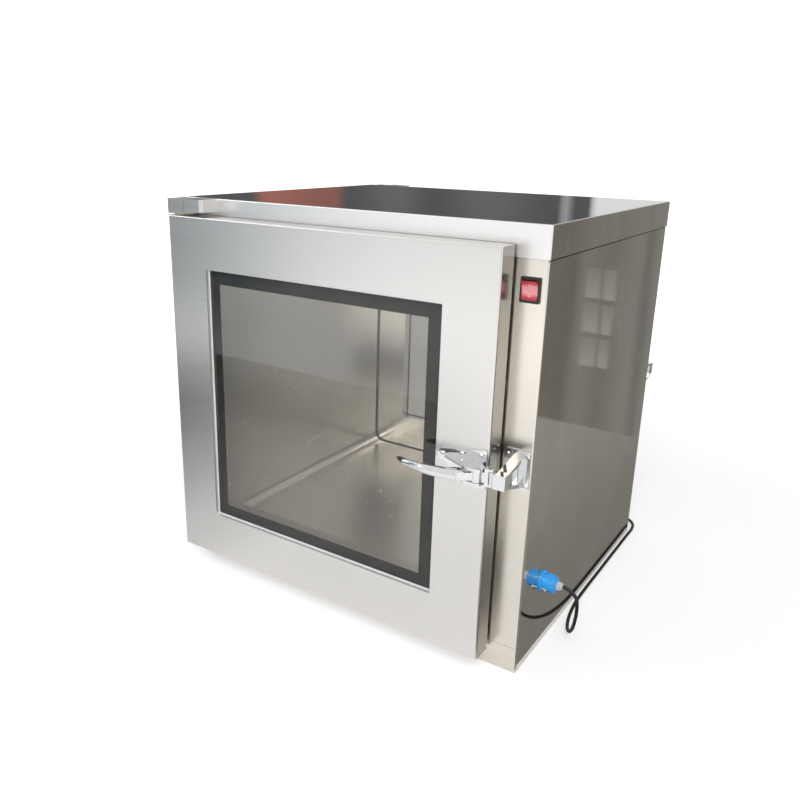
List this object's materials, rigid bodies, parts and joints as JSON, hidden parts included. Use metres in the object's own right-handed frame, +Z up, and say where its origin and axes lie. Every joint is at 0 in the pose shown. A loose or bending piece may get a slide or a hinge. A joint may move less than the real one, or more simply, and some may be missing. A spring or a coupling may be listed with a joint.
{
  "type": "cleanroom pass box",
  "caption": "Stainless through-wall pass box with a windowed door and lever latch on each side, UV lamp, switch and mains lead.",
  "frame": {"origin": "centre of the footprint on the ground", "axes": "+Z up, front door faces -Y, doors hinge on the -X side, latches and switch on the +X side"},
  "size_m": [0.6451, 0.7064, 0.6],
  "materials": {
    "brushed_sheet": "horizontal brushed grain, film-protected",
    "mirror_sheet": "polished",
    "inner_sheet": "satin",
    "zinc_steel": "galvanised",
    "chrome": "polished",
    "glass": "clear toughened",
    "border_black": "fired black border",
    "sealant": "matt",
    "gasket": "matt",
    "black_plastic": "fine texture",
    "black_pvc": "smooth flexible",
    "red_plastic": "translucent red",
    "blue_plastic": "gloss",
    "grey_plastic": "smooth",
    "white_enamel": "gloss white",
    "white_plastic": "smooth",
    "lamp_glass": "quartz tube",
    "brass": "turned"
  },
  "bodies": {
    "cabinet": {"base_pan": "brushed_sheet", "side_panel_left": "mirror_sheet", "side_panel_right": "mirror_sheet", "top_cap": "mirror_sheet", "front_frame": "brushed_sheet", "rear_frame": "brushed_sheet", "chamber_liner": "inner_sheet", "floor_rails": "zinc_steel", "uv_batten": "white_enamel", "uv_tube": "lamp_glass", "uv_lampholders": "white_plastic", "uv_ballast": "zinc_steel", "wiring_loom": "black_pvc", "switch_body": "black_plastic", "power_inlet": "blue_plastic", "inlet_screws": "chrome", "power_connector": "blue_plastic", "cable_gland": "grey_plastic", "power_cord": "black_pvc", "cord_coil": "black_pvc", "cord_tie": "black_plastic", "mains_plug": "black_plastic", "interlock_bearings": "black_plastic", "hinge_pins": "chrome", "strike_screws": "chrome", "front_hinge_brackets": "brushed_sheet", "front_strike": "chrome", "rear_hinge_brackets": "brushed_sheet", "rear_strike": "chrome"},
    "front_door": {"front_door_skin": "brushed_sheet", "front_door_inner_pan": "inner_sheet", "front_door_glass": "glass", "front_glass_border": "border_black", "front_glazing_seal": "sealant", "front_door_gasket": "gasket", "front_hinge_bushes": "brass", "front_catch_stud": "chrome", "front_latch_base": "chrome", "front_latch_screws": "chrome", "front_latch_pivot": "chrome"},
    "front_latch_lever": {"front_latch_lever": "chrome", "front_lever_tip": "black_plastic"},
    "front_roller": {"front_latch_roller": "chrome"},
    "rear_door": {"rear_door_skin": "brushed_sheet", "rear_door_inner_pan": "inner_sheet", "rear_door_glass": "glass", "rear_glass_border": "border_black", "rear_glazing_seal": "sealant", "rear_door_gasket": "gasket", "rear_hinge_bushes": "brass", "rear_catch_stud": "chrome", "rear_latch_base": "chrome", "rear_latch_screws": "chrome", "rear_latch_pivot": "chrome"},
    "rear_latch_lever": {"rear_latch_lever": "chrome", "rear_lever_tip": "black_plastic"},
    "rear_roller": {"rear_latch_roller": "chrome"},
    "rocker": {"switch_rocker": "red_plastic"},
    "thumb_slide": {"connector_latch": "chrome"},
    "interlock": {"interlock_shaft": "zinc_steel"}
  },
  "joints": [
    {"name": "front_door_hinge", "type": "hinge", "parent": "cabinet", "child": "front_door", "pos_m": [-0.286, -0.2735, 0.3], "axis": [0, 0, -1], "range_deg": [0, 120]},
    {"name": "rear_door_hinge", "type": "hinge", "parent": "cabinet", "child": "rear_door", "pos_m": [-0.286, 0.2735, 0.3], "axis": [0, 0, 1], "range_deg": [0, 120]},
    {"name": "front_lever_pivot", "type": "hinge", "parent": "front_door", "child": "front_latch_lever", "pos_m": [0.247, -0.3085, 0.3], "axis": [0, 0, 1], "range_deg": [0, 40]},
    {"name": "rear_lever_pivot", "type": "hinge", "parent": "rear_door", "child": "rear_latch_lever", "pos_m": [0.247, 0.3085, 0.3], "axis": [0, 0, -1], "range_deg": [0, 40]},
    {"name": "front_roller_spin", "type": "hinge", "parent": "front_latch_lever", "child": "front_roller", "pos_m": [0.2665, -0.3045, 0.3], "axis": [0, 0, 1], "continuous": true},
    {"name": "rear_roller_spin", "type": "hinge", "parent": "rear_latch_lever", "child": "rear_roller", "pos_m": [0.2665, 0.3045, 0.3], "axis": [0, 0, 1], "continuous": true},
    {"name": "switch_rocker_tip", "type": "hinge", "parent": "cabinet", "child": "rocker", "pos_m": [0.2744, -0.2525, 0.523], "axis": [-1, 0, 0], "range_deg": [0, 14]},
    {"name": "connector_latch_slide", "type": "slide", "parent": "cabinet", "child": "thumb_slide", "axis": [1, 0, 0], "range_m": [0, 0.003]},
    {"name": "interlock_turn", "type": "hinge", "parent": "cabinet", "child": "interlock", "pos_m": [0.272, 0, 0.4], "axis": [0, 1, 0], "range_deg": [-18, 18]}
  ]
}
